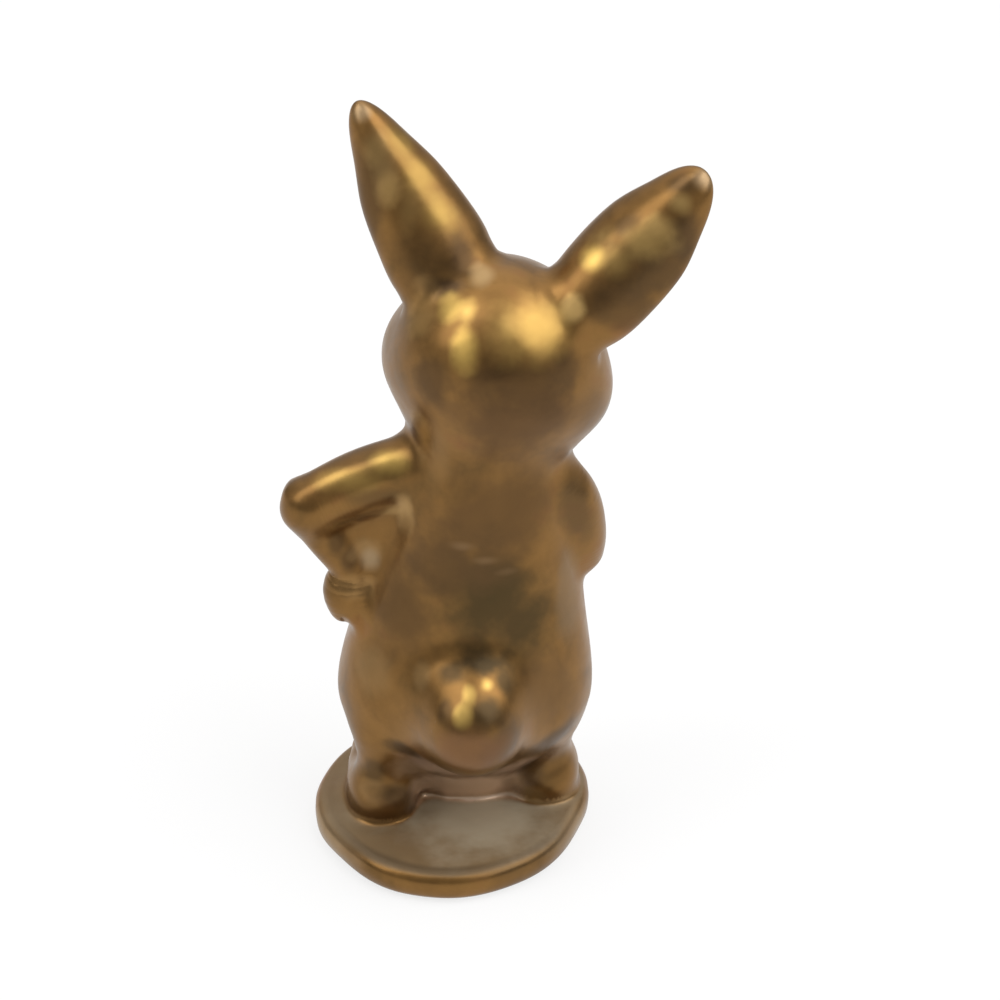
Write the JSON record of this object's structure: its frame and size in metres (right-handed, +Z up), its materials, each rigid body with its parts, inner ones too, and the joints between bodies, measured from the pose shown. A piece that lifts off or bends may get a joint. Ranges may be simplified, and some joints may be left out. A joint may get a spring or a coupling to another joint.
{
  "type": "rabbit figurine",
  "caption": "Standing rabbit figurine in gilded porcelain, one paw on the hip and one on the chest, ears splayed, on a rounded slab base.",
  "frame": {"origin": "middle of the base's flat underside", "axes": "+Z up, -Y the way the rabbit faces, +X to the rabbit's left"},
  "size_m": [0.0455, 0.0335, 0.0851],
  "materials": {
    "gilt": "bright gold lustre fired over glazed porcelain, rubbed through to white at the tips",
    "worn_gilt": "gold lustre worn thin and grey on the top of the slab, bright on its rounded edge"
  },
  "bodies": {
    "root": {"base": "worn_gilt", "body": "gilt", "head": "gilt", "left_ear": "gilt", "right_ear": "gilt", "left_arm": "gilt", "right_arm": "gilt", "left_leg": "gilt", "right_leg": "gilt", "tail": "gilt"}
  },
  "joints": []
}
